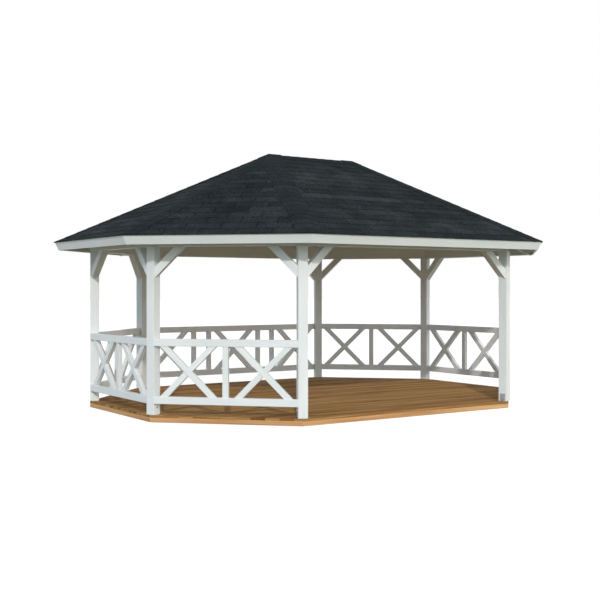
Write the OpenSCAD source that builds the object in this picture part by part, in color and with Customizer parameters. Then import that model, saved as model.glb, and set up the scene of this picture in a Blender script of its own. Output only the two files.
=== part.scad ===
// Garden gazebo: a stretched octagon of posts on a board floor, with railings
// of crossed bars, knee braces, ring beams and a hipped shingle roof.
// X runs along the ridge, the open entrance side faces -Y and Z is up. The
// origin is the centre of the footprint on the ground.

/* [Plan] */
// Length of the front and rear sides, post centre to post centre
long_side = 3235; // [2700:5:4500]
// Length of the end and corner sides, post centre to post centre
short_side = 1800; // [1600:5:2400]

/* [Floor] */
// Height of the joists and rim under the floor boards
joist_h = 57; // [45:1:195]
// Thickness of the joists and rim
joist_w = 45; // [36:1:95]
// Largest distance from joist to joist
joist_pitch = 500; // [300:10:700]
// Thickness of the floor boards
board_t = 28; // [21:1:45]
// How far the floor reaches past the line of post centres
floor_edge = 55; // [45:1:120]

/* [Posts] */
// Side of the square posts
post_w = 115; // [90:1:160]
// Height from the floor to the underside of the ring beams
headroom = 1990; // [1850:5:2600]
// Steel thickness of the post shoes
shoe_t = 4; // [3:0.5:8]
// Width of the post shoes
shoe_w = 68; // [50:1:90]
// Height of the shoe's plate beside the post
shoe_h = 100; // [70:1:130]

/* [Railings] */
// Height of the top of the railing above the floor
railing_h = 903; // [800:1:1200]
// Height of the free space under the bottom rail
railing_gap = 135; // [110:1:180]
// Height of the rails
rail_h = 87; // [60:1:120]
// Depth of the rails
rail_d = 70; // [60:1:100]
// Width of the balusters and of the crossed bars
bar_w = 70; // [45:1:90]
// Depth of the balusters and of the crossed bars
bar_d = 54; // [36:1:60]

/* [Ring beams and braces] */
// Width of the ring beams
beam_w = 90; // [70:1:110]
// Height of the ring beams
beam_h = 202; // [145:1:240]
// How far the beams and braces lie behind the posts' outer edges
beam_inset = 15; // [0:1:25]
// Distance along the post and the beam that a brace reaches
brace_leg = 376; // [250:2:500]
// Width of the knee braces
brace_w = 92; // [70:1:120]
// Depth of the knee braces
brace_d = 90; // [45:1:100]

/* [Roof] */
// Slope of every roof side, in degrees
roof_pitch = 25; // [18:0.1:35]
// How far the top of the fascia reaches past the line of post centres
eave_out = 479; // [300:1:600]
// Width of the common and jack rafters
rafter_w = 45; // [36:1:70]
// Depth of the common and jack rafters, square to the slope
rafter_d = 95; // [80:1:145]
// Largest distance from rafter to rafter on the long sides
rafter_pitch = 620; // [400:10:900]
// Width of the hip rafters
hip_w = 50; // [40:1:70]
// Depth of the hip rafters, square to the hip
hip_d = 120; // [105:1:170]
// Width of the ridge beam
ridge_w = 50; // [40:1:70]
// Height of the ridge beam
ridge_h = 150; // [130:1:220]
// Radius of the hubs at the ridge ends, to the flats
hub_r = 90; // [75:1:130]
// Height of the hubs
hub_h = 225; // [200:5:300]
// Free space between a hub and the nearest common rafter
hub_gap = 3; // [2:1:40]
// Thickness of the roof boards
roof_board_t = 18; // [15:1:28]
// Width of the fascia boards
fascia_w = 116; // [90:1:170]
// Thickness of the fascia boards
fascia_t = 20; // [16:1:32]
// Thickness of the overlapping shingles with the caps over them
shingle_t = 14; // [6:1:20]
// How far the shingles hang over the fascia
shingle_lip = 12; // [0:1:30]

/* [Hidden] */

// Sides and corners are counted anticlockwise from above. Side 0 is the front
// and runs from corner 0, the front left one, to corner 1.
SIDES = [0 : 7];
turn = 45;
half_turn = turn / 2;

paint = [0.93, 0.94, 0.95];
floor_brown = [0.58, 0.40, 0.25];
zinc = [0.66, 0.68, 0.70];
slate = [0.20, 0.22, 0.24];

// Distance from the ridge line to the line of post centres on every side.
reach = short_side / 2 + short_side / sqrt(2);
// Half of the ridge: with it all the roof sides have the same slope.
ridge_half = (long_side - short_side) / 2;
end_x = ridge_half + reach;

floor_top = joist_h + board_t;
post_top = floor_top + headroom;
beam_top = post_top + beam_h;

// Outer faces of the rails are flush with the posts' outer edges, and those of
// the beams and braces lie behind them.
face_out = post_w / 2 * (cos(half_turn) + sin(half_turn));
beam_out = face_out - beam_inset;

// Roof heights are measured at the top of the roof boards. The rafters' seats
// on the beams are seat_d deep at the beams' outer faces.
board_top_n = 0;
rafter_top_n = roof_board_t;
rafter_low_n = roof_board_t + rafter_d;
seat_d = 17;
apex = beam_top - seat_d + (reach + beam_out) * tan(roof_pitch)
    + rafter_low_n / cos(roof_pitch);
eave_u = (reach + eave_out) / cos(roof_pitch);
tail_u = eave_u - fascia_t;
hip_slope = atan(tan(roof_pitch) * cos(half_turn));
lap = 1;
far = 9000;

// Corners of the plan, moved outwards by off from the post centres.
function ring(off) = let (
    x1 = long_side / 2 + off * tan(half_turn),
    x2 = end_x + off,
    y1 = short_side / 2 + off * tan(half_turn),
    y2 = reach + off
) [
    [-x1, -y2], [x1, -y2], [x2, -y1], [x2, y1],
    [x1, y2], [-x1, y2], [-x2, y1], [-x2, -y1]
];

function side_len(i) = i % 4 == 0 ? long_side : short_side;

// Ridge end that corner i belongs to.
function ridge_end(i) = [(i % 8 >= 1 && i % 8 <= 4) ? ridge_half : -ridge_half, 0];

// Point of a roof side's cross section: u runs down the slope from the ridge
// line on top of the boards and n is the depth square to the slope. The result
// is the distance out from the ridge and the height.
function slope_pt(u, n) = [
    u * cos(roof_pitch) - n * sin(roof_pitch),
    apex - u * sin(roof_pitch) - n * cos(roof_pitch)
];

// Height at depth n under the boards' top, at distance d out from the ridge.
function slope_z(d, n) = apex - d * tan(roof_pitch) - n / cos(roof_pitch);

// Distance along a side, from the post's centre to its side face, at depth y
// inwards from the line of post centres.
function post_face(y) = (post_w / 2 + y * sin(half_turn)) / cos(half_turn);

// Frame of side i: X along the side, Y inwards, at the middle of the side.
module on_side(i) {
    corners = ring(0);
    mid = (corners[i] + corners[(i + 1) % 8]) / 2;
    translate([mid.x, mid.y, 0])
        rotate(i * turn)
            children();
}

// Frame of corner i: X outwards along the corner's bisector.
module at_corner(i) {
    corners = ring(0);
    translate([corners[i].x, corners[i].y, 0])
        rotate(i * turn - 90 - half_turn)
            children();
}

// Cross section given as distance out from the ridge and height, drawn out
// along side i over the length len, with its middle at x. The short sides'
// sections all start from their ridge end, so that their slopes meet there.
module along_side(i, len, x = 0) {
    translate(i % 4 == 0 ? [0, 0] : ridge_end(i))
        rotate(i * turn)
            translate([x - len / 2, 0, 0])
                rotate([90, 0, 90])
                    linear_extrude(len)
                        mirror([1, 0])
                            children();
}

// Plan of the roof over side i, between the hips.
module sector_plan(i) {
    outer = ring(far);
    polygon([ridge_end(i), outer[i], outer[(i + 1) % 8], ridge_end(i + 1)]);
}

module sector(i) {
    linear_extrude(far)
        sector_plan(i);
}

// ---- Floor ----

module floor_frame() {
    joists = ceil((end_x + floor_edge) / joist_pitch);
    color(floor_brown)
        linear_extrude(joist_h) {
            difference() {
                polygon(ring(floor_edge));
                polygon(ring(floor_edge - joist_w));
            }
            intersection() {
                polygon(ring(floor_edge - joist_w / 2));
                for (k = [-joists : joists])
                    translate([k * joist_pitch, 0])
                        square([joist_w, far], center = true);
            }
        }
}

module floor_boards() {
    color(floor_brown)
        translate([0, 0, joist_h])
            linear_extrude(board_t)
                polygon(ring(floor_edge));
}

// ---- Posts ----

module post(i) {
    color(paint)
        at_corner(i)
            translate([-post_w / 2, -post_w / 2, floor_top + shoe_t])
                cube([post_w, post_w, headroom - shoe_t]);
}

// One shoe: a plate under the post that turns up one of its side faces.
module post_shoe(i) {
    face = post_w / 2;
    at_corner(i)
        translate([0, 0, floor_top])
            rotate([90, 0, 90])
                linear_extrude(shoe_w, center = true)
                    polygon([
                        [-face - shoe_t, 0], [face, 0], [face, shoe_t],
                        [-face, shoe_t], [-face, shoe_h + shoe_t],
                        [-face - shoe_t, shoe_h + shoe_t]
                    ]);
}

module post_shoes() {
    color(zinc)
        for (i = SIDES)
            post_shoe(i);
}

// ---- Railings ----

// A rail fills the side between the side faces of its two posts.
module rail(i, z) {
    out = -face_out;
    in = out + rail_d;
    half = side_len(i) / 2;
    translate([0, 0, z])
        linear_extrude(rail_h)
            polygon([
                [-half + post_face(out), out], [half - post_face(out), out],
                [half - post_face(in), in], [-half + post_face(in), in]
            ]);
}

// Two bars crossed at 45 degrees, centred on x.
module crossed_bars(x, mid_z, clear_h) {
    translate([x, mid_z])
        intersection() {
            square([2 * clear_h, clear_h + 2 * lap], center = true);
            for (a = [-45, 45])
                rotate(a)
                    square([2 * clear_h, bar_w], center = true);
        }
}

module railing(i) {
    low = floor_top + railing_gap + rail_h;
    high = floor_top + railing_h - rail_h;
    clear_h = high - low;
    mid_z = (low + high) / 2;
    half = side_len(i) / 2;
    // The end bays are as wide as half a short side, measured from the post
    // centre. A long side has one more such bay in its middle.
    bay = short_side / 2;
    post_edge = post_face(-face_out);
    end_bar = half - bay;
    bay_clear = bay - post_edge - bar_w / 2;
    mid_bar = (bay_clear + bar_w) / 2;
    is_long = i % 4 == 0;
    bars = is_long ? [-end_bar, -mid_bar, mid_bar, end_bar] : [0];
    end_cross = half - post_edge - bay_clear / 2;
    crosses = is_long ? [-end_cross, 0, end_cross] : [-end_cross, end_cross];
    color(paint)
        on_side(i) {
            rail(i, floor_top + railing_gap);
            rail(i, high);
            translate([0, -face_out + (rail_d + bar_d) / 2, 0])
                rotate([90, 0, 0])
                    linear_extrude(bar_d) {
                        for (x = crosses)
                            crossed_bars(x, mid_z, clear_h);
                        for (x = bars)
                            translate([x, mid_z])
                                square([bar_w, clear_h + 2 * lap], center = true);
                    }
        }
}

// ---- Knee braces and ring beams ----

// Brace at the left end of side i: its foot lies on the post's side face and
// its head under the beam.
module knee_brace(i) {
    out = -beam_out;
    edge = -side_len(i) / 2 + post_face(-face_out);
    short_leg = brace_leg - brace_w * sqrt(2);
    difference() {
        translate([edge, out + brace_d, post_top])
            rotate([90, 0, 0])
                linear_extrude(brace_d)
                    polygon([
                        [0, -brace_leg], [brace_leg, 0],
                        [short_leg, 0], [0, -short_leg]
                    ]);
        translate([-side_len(i) / 2, 0, 0])
            rotate(-half_turn)
                translate([-post_w / 2, -post_w, 0])
                    cube([post_w, 2 * post_w, post_top]);
    }
}

module knee_braces() {
    color(paint)
        for (i = SIDES)
            on_side(i) {
                knee_brace(i);
                mirror([1, 0, 0])
                    knee_brace(i);
            }
}

// Beam over side i, mitred over the posts.
module beam(i) {
    outer = ring(beam_out);
    inner = ring(beam_out - beam_w);
    j = (i + 1) % 8;
    translate([0, 0, post_top])
        linear_extrude(beam_h)
            polygon([outer[i], outer[j], inner[j], inner[i]]);
}

module long_and_end_beams() {
    color(paint)
        for (i = [0 : 2 : 6])
            beam(i);
}

module corner_beams() {
    color(paint)
        for (i = [1 : 2 : 7])
            beam(i);
}

// ---- Rafters ----

// Everything under the roof boards and inside the fascia of side i.
module under_boards(i) {
    along_side(i, far)
        polygon([
            slope_pt(-far, rafter_top_n), slope_pt(tail_u, rafter_top_n),
            slope_pt(tail_u, far), slope_pt(-far, far)
        ]);
}

// Eight-sided hub outline with a flat towards each hip.
module hub_outline() {
    circle(r = hub_r / cos(half_turn), $fn = 8);
}

module ridge_beam() {
    top = slope_z(0, rafter_top_n);
    side_top = slope_z(ridge_w / 2, rafter_top_n);
    hub_top = slope_z(hub_r / cos(half_turn), rafter_top_n);
    color(paint) {
        translate([-ridge_half, 0, 0])
            rotate([90, 0, 90])
                linear_extrude(2 * ridge_half)
                    polygon([
                        [-ridge_w / 2, top - ridge_h], [ridge_w / 2, top - ridge_h],
                        [ridge_w / 2, side_top], [0, top], [-ridge_w / 2, side_top]
                    ]);
        for (s = [-1, 1])
            translate([s * ridge_half, 0, hub_top - hub_h])
                linear_extrude(hub_h)
                    hub_outline();
    }
}

// Plain bar along the hip over corner i, before it is trimmed. As a cutter it
// is raised by rise, so that its top lies clear of the slopes.
module hip_bar(i, rise = 0) {
    start = ridge_end(i);
    translate([start.x, start.y, slope_z(0, rafter_top_n)])
        rotate(i * turn - 90 - half_turn)
            rotate([0, hip_slope, 0])
                translate([0, -hip_w / 2, -hip_d])
                    cube([far / 2, hip_w, hip_d + rise]);
}

module hip_rafters() {
    color(paint)
        for (i = SIDES)
            difference() {
                intersection() {
                    hip_bar(i);
                    under_boards(i);
                    under_boards((i + 7) % 8);
                }
                beam(i);
                beam((i + 7) % 8);
                translate([ridge_end(i).x, 0, 0])
                    linear_extrude(far)
                        hub_outline();
            }
}

// Rafter on side i at x along the side, with its plumb top cut at distance d
// out from the ridge and a seat cut over the beam.
module rafter(i, x, d) {
    tail_low = slope_pt(tail_u, rafter_low_n);
    along_side(i, rafter_w, x)
        difference() {
            polygon([
                [d, slope_z(d, rafter_top_n)], slope_pt(tail_u, rafter_top_n),
                tail_low, [d, slope_z(d, rafter_low_n)]
            ]);
            translate([reach + beam_out - beam_w, post_top])
                square([beam_w, beam_h]);
        }
}

// Evenly spaced places from a to b, no more than rafter_pitch apart, with a
// but without b.
function places(a, b) = let (
    steps = ceil((b - a) / rafter_pitch)
) [for (k = [0 : steps - 1]) a + k * (b - a) / steps];

// Distance out from the ridge at which a hip passes x on a long side.
function hip_start(x) = (x - ridge_half) / tan(half_turn);

module common_rafters() {
    // The last common rafter on the ridge beam clears the hub, and the jack
    // rafters are spaced evenly from there to the corner of the eaves.
    ridge_last = ridge_half - hub_r / cos(half_turn) - rafter_w / 2 - hub_gap;
    eave_half = long_side / 2 + eave_out * tan(half_turn);
    spots = concat(places(0, ridge_last), places(ridge_last, eave_half));
    // A short side's rafter starts where it fits in between the hips.
    short_start = (rafter_w / 2 + hip_w / 2 / cos(half_turn)) / tan(half_turn);
    color(paint) {
        for (i = [0, 4])
            for (spot = spots)
                for (x = spot > 0 ? [-spot, spot] : [0])
                    if (spot < ridge_half)
                        rafter(i, x, ridge_w / 2);
                    else
                        difference() {
                            intersection() {
                                rafter(i, x, hip_start(spot - rafter_w / 2));
                                sector(i);
                            }
                            hip_bar(i, rafter_d);
                            hip_bar(i + 1, rafter_d);
                        }
        for (i = [1, 2, 3, 5, 6, 7])
            rafter(i, 0, short_start);
    }
}

// ---- Roof skin ----

// Layer of the roof over side i from depth n1 to n2, down to the slope
// length u.
module roof_layer(i, n1, n2, u) {
    intersection() {
        along_side(i, far)
            polygon([
                [-lap, slope_z(-lap, n1)], slope_pt(u, n1),
                slope_pt(u, n2), [-lap, slope_z(-lap, n2)]
            ]);
        sector(i);
    }
}

module roof_side(i) {
    color(paint)
        roof_layer(i, board_top_n, roof_board_t, tail_u);
}

module fascia(i) {
    color(paint)
        intersection() {
            along_side(i, far)
                polygon([
                    slope_pt(tail_u, board_top_n), slope_pt(eave_u, board_top_n),
                    slope_pt(eave_u, fascia_w), slope_pt(tail_u, fascia_w)
                ]);
            sector(i);
        }
}

// Corners of one face of the shingle layer at depth n: the two ridge ends and
// then the eight corners of its lower edge.
function skin_points(n) = let (
    edge = slope_pt(eave_u + shingle_lip, n)
) concat(
    [for (x = [-ridge_half, ridge_half]) [x, 0, slope_z(0, n)]],
    [for (p = ring(edge.x - reach)) [p.x, p.y, edge.y]]
);

// Shingles over the whole roof, as one layer of even thickness.
module shingle_covering() {
    under = 10;
    first = 2;
    left = 0;
    right = 1;
    slopes = [for (i = SIDES) let (
        a = first + i,
        b = first + (i + 1) % 8
    ) i == 0 ? [b, a, left, right] : i == 4 ? [b, a, right, left]
        : [b, a, i < 4 ? right : left]];
    undersides = [for (slope = slopes) [
        for (k = [len(slope) - 1 : -1 : 0]) slope[k] + under
    ]];
    edges = [for (i = SIDES) let (
        a = first + i,
        b = first + (i + 1) % 8
    ) [a, b, b + under, a + under]];
    color(slate)
        polyhedron(
            points = concat(skin_points(-shingle_t), skin_points(0)),
            faces = concat(slopes, undersides, edges)
        );
}

floor_frame();
floor_boards();
post_shoes();
post(0);  // post_front_left
post(1);  // post_front_right
post(2);  // post_right_front
post(3);  // post_right_rear
post(4);  // post_rear_right
post(5);  // post_rear_left
post(6);  // post_left_rear
post(7);  // post_left_front
railing(1);  // railing_front_right
railing(2);  // railing_right
railing(3);  // railing_rear_right
railing(4);  // railing_rear
railing(5);  // railing_rear_left
railing(6);  // railing_left
railing(7);  // railing_front_left
knee_braces();
long_and_end_beams();
corner_beams();
ridge_beam();
hip_rafters();
common_rafters();
fascia(0);  // fascia_front
fascia(1);  // fascia_front_right
fascia(2);  // fascia_right
fascia(3);  // fascia_rear_right
fascia(4);  // fascia_rear
fascia(5);  // fascia_rear_left
fascia(6);  // fascia_left
fascia(7);  // fascia_front_left
roof_side(0);  // roof_front
roof_side(1);  // roof_front_right
roof_side(2);  // roof_right
roof_side(3);  // roof_rear_right
roof_side(4);  // roof_rear
roof_side(5);  // roof_rear_left
roof_side(6);  // roof_left
roof_side(7);  // roof_front_left
shingle_covering();
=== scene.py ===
from math import cos, pi, radians, sin, sqrt, tan

import bpy
import numpy as np
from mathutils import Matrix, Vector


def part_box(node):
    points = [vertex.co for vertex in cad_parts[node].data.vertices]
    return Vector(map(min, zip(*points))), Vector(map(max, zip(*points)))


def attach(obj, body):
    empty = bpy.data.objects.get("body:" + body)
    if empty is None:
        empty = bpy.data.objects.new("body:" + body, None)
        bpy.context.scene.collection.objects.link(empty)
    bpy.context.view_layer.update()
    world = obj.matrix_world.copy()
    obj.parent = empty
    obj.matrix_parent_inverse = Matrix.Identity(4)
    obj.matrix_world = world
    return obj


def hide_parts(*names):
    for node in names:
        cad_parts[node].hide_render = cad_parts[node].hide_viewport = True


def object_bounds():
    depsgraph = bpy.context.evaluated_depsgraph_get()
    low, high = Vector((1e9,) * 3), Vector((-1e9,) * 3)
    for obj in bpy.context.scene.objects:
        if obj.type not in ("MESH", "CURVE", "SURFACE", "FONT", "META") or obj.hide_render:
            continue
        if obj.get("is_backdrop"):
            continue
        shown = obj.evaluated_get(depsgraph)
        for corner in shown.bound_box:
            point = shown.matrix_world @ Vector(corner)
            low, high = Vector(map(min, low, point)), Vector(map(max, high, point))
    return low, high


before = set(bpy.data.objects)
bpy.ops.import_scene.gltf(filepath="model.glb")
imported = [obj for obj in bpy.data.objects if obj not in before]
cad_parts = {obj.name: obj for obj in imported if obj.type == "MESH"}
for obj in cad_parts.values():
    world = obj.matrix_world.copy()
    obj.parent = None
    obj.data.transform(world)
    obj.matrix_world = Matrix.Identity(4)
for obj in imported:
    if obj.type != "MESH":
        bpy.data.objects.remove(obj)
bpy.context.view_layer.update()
rng = np.random.default_rng(31)

# ---- Camera ----
# Eye level, from in front of the gazebo and to the left of its open side, far
# enough away to take in the whole roof.
camera = bpy.data.objects.new("camera", bpy.data.cameras.new("camera"))
bpy.context.scene.collection.objects.link(camera)
bpy.context.scene.camera = camera
camera.location = (-8.0915, -11.8173, 1.5784)
camera.rotation_euler = (radians(90), 0, radians(56.206 - 90))
camera.data.sensor_width = 36
camera.data.lens = 60.537
camera.data.shift_x = -0.00145
camera.data.shift_y = -0.01886
camera.data.clip_end = 300

# ---- Floor frame ----
# A rim of planed boards follows the edge of the floor, mitred at the eight
# corners, and joists lie between the front and the rear at even spacing. It is
# stained like the floor and everything above is screwed down to it.
POSTS = [
    "post_front_left", "post_front_right", "post_right_front", "post_right_rear",
    "post_rear_right", "post_rear_left", "post_left_rear", "post_left_front",
]
SIDES = [
    "front", "front_right", "right", "rear_right",
    "rear", "rear_left", "left", "front_left",
]
half_turn = pi / 8
corners = np.array([np.mean(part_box(name), axis=0)[:2] for name in POSTS])
floor_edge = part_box("floor_boards")[1][1] - corners[4][1]
frame_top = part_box("floor_frame")[1][2]
joist_w = 0.045
joist_pitch = 0.5
board_ease = 0.003
rim_gap = 0.0002


def side_frame(i):
    """Frame of side i: the middle of the line from post i to post i + 1, three
    unit vectors along that line, inwards and upwards, and half its length."""
    start, end = corners[i], corners[(i + 1) % 8]
    length = np.linalg.norm(end - start)
    along = (end - start) / length
    axes = np.array([[*along, 0], [-along[1], along[0], 0], [0, 0, 1]])
    return np.array([*(start + end) / 2, 0]), axes, length / 2


def end_planes(i, gap=0):
    """The two upright planes that bound side i at its posts: each holds a post's
    centre and its bisector. As (point, normal), with the normals pointing into
    the side and the planes moved that way by gap."""
    middle, (along, inwards, _), half = side_frame(i)
    planes = []
    for turn in (1, -1):
        normal = turn * cos(half_turn) * along - sin(half_turn) * inwards
        planes.append((middle - turn * half * along + gap * normal, normal))
    return planes


def eased(width, depth, ease=0.004, steps=2, at=(0, 0)):
    """Outline of a planed timber, anticlockwise: a rectangle with rounded edges.
    Corner k's arc runs from k to k + 1 quarter turns about a centre that lies
    ease inside both sides."""
    turns = np.arange(4)[:, None] * pi / 2 + np.linspace(0, pi / 2, steps + 1)
    signs = np.array([[1, 1], [-1, 1], [-1, -1], [1, -1]])
    centres = signs * (np.array([width, depth]) / 2 - ease)
    arcs = ease * np.stack([np.cos(turns), np.sin(turns)], axis=-1)
    return (centres[:, None] + arcs).reshape(-1, 2) + at


def carried(outline, origin, axes, starts, ends, grain=None, tone=None):
    """A closed outline carried along a straight path as one timber. Outline
    point (p, q) draws the line origin + p a + q b + t d, where a, b and d are
    the rows of axes. A cut plane meets it at t = ((point - base) . normal) /
    (d . normal): the timber runs from the furthest of its start planes to the
    nearest of its end planes. Two outlines give the two ends separately."""
    outline = np.broadcast_to(outline, (2, *np.shape(outline)[-2:]))
    base = origin + outline @ axes[:2]
    rings = []
    for k, (planes, pick) in enumerate(((starts, np.max), (ends, np.min))):
        t = [(point - base[k]) @ normal / (axes[2] @ normal) for point, normal in planes]
        rings.append(base[k] + pick(t, axis=0)[:, None] * axes[2])
    n = outline.shape[1]
    j = np.arange(n)
    following = (j + 1) % n
    sides = np.stack([j, following, n + following, n + j], axis=1)
    return {
        "points": np.concatenate(rings),
        "corners": np.concatenate([sides.ravel(), j[::-1], n + j]),
        "sizes": np.array([4] * n + [n, n]),
        "grain": axes[2] if grain is None else grain,
        "tone": rng.uniform(-1, 1) if tone is None else tone,
    }


def new_piece(name, parts, material, slot, *nodes):
    """One object out of several parts. UV map "grain" is in metres: u runs along
    a part's grain and v is square to it in the face, u = p . g, v = p . (n x g)
    for face normal n and grain g, and each part is shifted to a stretch of its
    own. On end grain u and v run across instead. Attribute "tone" is the part's
    own shade, from -1 to 1."""
    counts = [len(part["points"]) for part in parts]
    faces = [len(part["sizes"]) for part in parts]
    first = np.repeat(np.cumsum(counts) - counts, [len(p["corners"]) for p in parts])
    sizes = np.concatenate([part["sizes"] for part in parts])
    vertex = np.concatenate([part["corners"] for part in parts]) + first
    mesh = bpy.data.meshes.new(name)
    mesh.vertices.add(sum(counts))
    mesh.loops.add(len(vertex))
    mesh.polygons.add(len(sizes))
    points = np.concatenate([part["points"] for part in parts])
    mesh.vertices.foreach_set("co", points.ravel())
    mesh.polygons.foreach_set("loop_start", np.cumsum(sizes) - sizes)
    mesh.polygons.foreach_set("vertices", vertex)
    mesh.update(calc_edges=True)
    mesh.shade_flat()
    normals = np.empty(len(sizes) * 3)
    mesh.polygons.foreach_get("normal", normals)
    normals = np.repeat(normals.reshape(-1, 3), sizes, axis=0)
    grain = np.repeat([part["grain"] for part in parts], faces, axis=0)
    grain = np.repeat(grain, sizes, axis=0)
    across = np.cross(normals, grain)
    is_end = np.linalg.norm(across, axis=1) < 0.4
    spare = np.cross(normals, [0.36, 0.48, 0.8])
    across[is_end] = spare[is_end]
    across /= np.maximum(np.linalg.norm(across, axis=1), 1e-9)[:, None]
    grain[is_end] = np.cross(across, normals)[is_end]
    shift = np.repeat(rng.uniform(0, 40, (len(parts), 2)), faces, axis=0)
    shift = np.repeat(shift, sizes, axis=0)
    place = points[vertex]
    uv = np.stack([(place * grain).sum(1), (place * across).sum(1)], axis=1) + shift
    uv[is_end, 0] *= 12
    mesh.uv_layers.new(name="grain").data.foreach_set("uv", uv.ravel())
    tone = mesh.attributes.new("tone", "FLOAT", "FACE")
    tone.data.foreach_set("value", np.repeat([part["tone"] for part in parts], faces))
    mesh.materials.append(material)
    piece = bpy.data.objects.new(name, mesh)
    bpy.context.scene.collection.objects.link(piece)
    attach(piece, "root")
    if nodes:
        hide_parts(*nodes)
    return piece


def add(tree, kind, inputs=(), **settings):
    """A shader node of that kind. inputs gives each socket, by name or number,
    a value or the socket to link to it."""
    node = tree.nodes.new("ShaderNode" + kind)
    for key, value in settings.items():
        setattr(node, key, value)
    for key, value in dict(inputs).items():
        if isinstance(value, bpy.types.NodeSocket):
            tree.links.new(value, node.inputs[key])
        else:
            node.inputs[key].default_value = value
    return node


def new_material(name):
    """A new material, its node tree and its shader node."""
    material = bpy.data.materials.new(name)
    material.use_nodes = True
    return material, material.node_tree, material.node_tree.nodes["Principled BSDF"]


def srgb(red, green, blue):
    """Scene linear colour of an sRGB colour: ((c + 0.055) / 1.055) ^ 2.4, and
    c / 12.92 near black."""
    c = np.array([red, green, blue]) / 255
    linear = np.where(c <= 0.04045, c / 12.92, ((c + 0.055) / 1.055) ** 2.4)
    return (*linear.tolist(), 1)


def grain_noise(tree, along, across, detail=4, distortion=0.0):
    """Noise on the grain map, stretched along the timber: along and across are
    how many spots there are to a metre each way. Gives its factor socket."""
    place = add(tree, "UVMap", uv_map="grain")
    stretched = add(
        tree, "Mapping", {"Vector": place.outputs["UV"], "Scale": (along, across, 1)}
    )
    noise = add(
        tree, "TexNoise",
        {
            "Vector": stretched.outputs[0], "Scale": 1.0,
            "Detail": detail, "Distortion": distortion,
        },
    )
    return noise.outputs["Fac"]


def ramp(tree, factor, *stops):
    """Colour ramp with those (position, colour) stops. Gives its colour socket."""
    node = add(tree, "ValToRGB", {"Fac": factor})
    elements = node.color_ramp.elements
    while len(elements) < len(stops):
        elements.new(0.5)
    for element, (position, colour) in zip(elements, stops):
        element.position = position
        element.color = colour
    return node.outputs["Color"]


def sum_of(tree, *terms):
    """Sum of (socket, weight) terms. Gives its value socket."""
    total = 0.0
    for socket, weight in terms:
        node = add(
            tree, "Math", {0: socket, 1: weight, 2: total}, operation="MULTIPLY_ADD"
        )
        total = node.outputs[0]
    return total


def maths(tree, operation, first, second):
    """That operation on two sockets or numbers. Gives its value socket."""
    return add(tree, "Math", {0: first, 1: second}, operation=operation).outputs[0]


def blend(tree, factor, colour, other):
    """Colour that goes over to the other one with factor. Gives its socket."""
    inputs = {"Factor": factor, 6: colour, 7: other}
    return add(tree, "Mix", inputs, data_type="RGBA").outputs[2]


def set_gloss(tree, shader, value, smooth, rough):
    """Roughness that follows a value from 0 to 1 between those two."""
    gloss = add(tree, "MapRange", {"Value": value, "To Min": smooth, "To Max": rough})
    tree.links.new(gloss.outputs[0], shader.inputs["Roughness"])


def set_relief(tree, shader, height, strength, distance):
    """Bumps that follow a height from 0 to 1, distance metres high."""
    bump = add(
        tree, "Bump", {"Strength": strength, "Distance": distance, "Height": height}
    )
    tree.links.new(bump.outputs[0], shader.inputs["Normal"])


def wood(name, dark, middle, light, knot, roughness, figure=1.0, shine=0.35):
    """Softwood: growth rings as broad and fine streaks along the grain, a few
    oval knots with the rings crowded round them, and a shade for each board. A
    figure over 1 makes the streaks bolder."""
    material, tree, shader = new_material(name)
    place = add(tree, "UVMap", uv_map="grain")
    knots_along, knots_across = 0.9, 6.0
    cells = add(
        tree, "Mapping",
        {"Vector": place.outputs["UV"], "Scale": (knots_along, knots_across, 1)},
    )
    spots = add(
        tree, "TexVoronoi", {"Vector": cells.outputs[0], "Scale": 1.0},
        voronoi_dimensions="2D",
    )
    chosen = maths(tree, "GREATER_THAN", spots.outputs["Color"], 0.66)
    away = add(
        tree, "VectorMath", {0: cells.outputs[0], 1: spots.outputs["Position"]},
        operation="SUBTRACT",
    )
    rounds = []
    for stretch, core, edge in ((1.4, 0.008, 0.014), (4.0, 0.010, 0.045)):
        metres = add(
            tree, "VectorMath",
            {0: away.outputs[0], 1: (stretch * knots_along, knots_across, 1)},
            operation="DIVIDE",
        )
        distance = add(tree, "VectorMath", {0: metres.outputs[0]}, operation="LENGTH")
        inside = add(
            tree, "MapRange",
            {
                "Value": distance.outputs["Value"], "From Min": core, "From Max": edge,
                "To Min": 1.0, "To Max": 0.0,
            },
            interpolation_type="SMOOTHSTEP",
        )
        rounds.append(maths(tree, "MULTIPLY", inside.outputs[0], chosen))
    is_knot, is_halo = rounds
    broad = grain_noise(tree, 0.6, 14, detail=3, distortion=0.3)
    rings = grain_noise(tree, 1.0, 60, detail=3)
    fibres = grain_noise(tree, 7, 420, detail=5)
    tone = add(tree, "Attribute", attribute_name="tone")
    shade = sum_of(
        tree, (broad, 0.75 * figure), (rings, 0.55 * figure), (fibres, 0.3),
        (tone.outputs["Fac"], 0.10 * figure), (is_halo, -0.16),
    )
    mean = 0.65 * figure + 0.15
    level = add(
        tree, "MapRange",
        {"Value": shade, "From Min": mean - 0.28, "From Max": mean + 0.24},
    )
    body = ramp(tree, level.outputs[0], (0, dark), (0.5, middle), (1, light))
    tree.links.new(blend(tree, is_knot, body, knot), shader.inputs["Base Color"])
    set_gloss(tree, shader, fibres, roughness - 0.08, roughness + 0.08)
    shader.inputs["Specular IOR Level"].default_value = shine
    height = sum_of(tree, (rings, 0.5), (fibres, 0.5), (is_knot, 0.3))
    set_relief(tree, shader, height, 0.25, 0.0012)
    return material


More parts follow.
